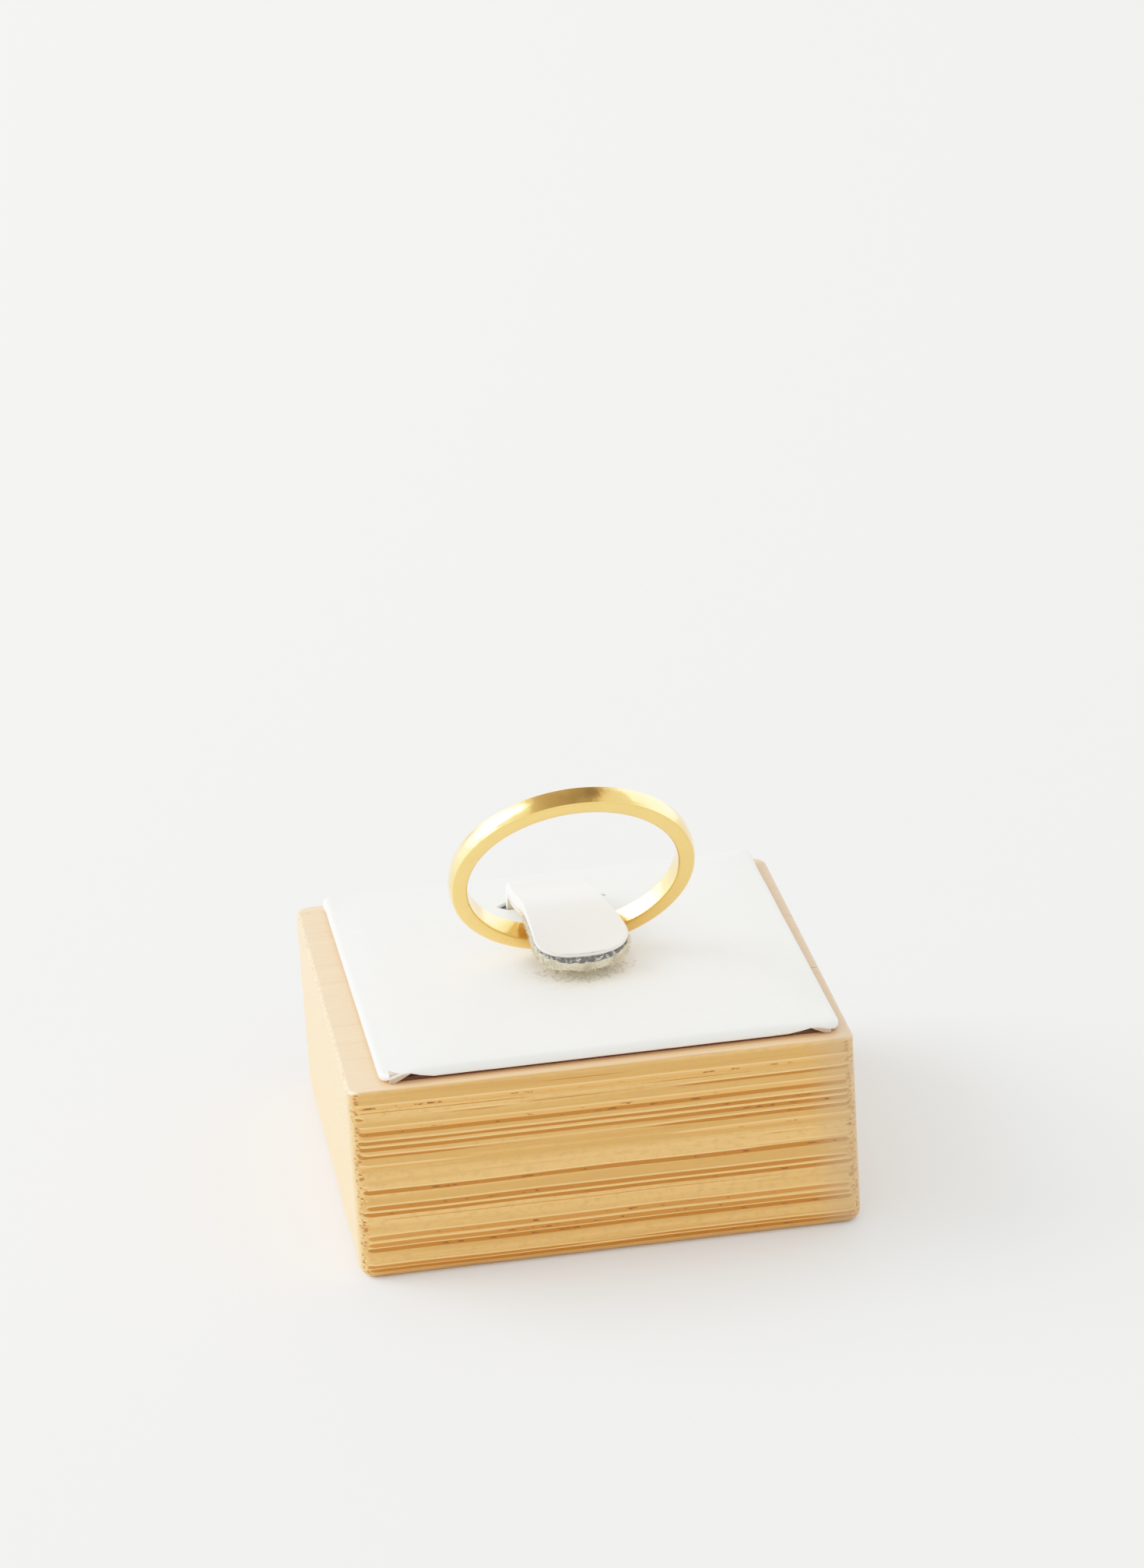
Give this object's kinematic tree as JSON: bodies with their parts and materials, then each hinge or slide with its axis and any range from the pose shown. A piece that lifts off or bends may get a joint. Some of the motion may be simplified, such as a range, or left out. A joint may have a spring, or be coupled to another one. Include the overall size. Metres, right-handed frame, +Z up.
{
  "type": "stackable ring on a display block",
  "caption": "Plain polished gold finger ring standing on a square bamboo display block, held through its bore by a leatherette tab on a white padded top.",
  "frame": {"origin": "middle of the bamboo block's underside, where the block stands on a surface", "axes": "+Z up, +X to the right along the slit, -Y towards the side that the ring leans to and the tab points to"},
  "size_m": [0.04, 0.04, 0.0347],
  "materials": {
    "gold": "polished gold",
    "bamboo": "bamboo, sanded, clear matt",
    "leatherette": "off-white leatherette, fine grain"
  },
  "bodies": {
    "root": {"ring_band": "gold", "bamboo_block": "bamboo", "leatherette_pad": "leatherette", "holding_tab": "leatherette"}
  },
  "joints": []
}
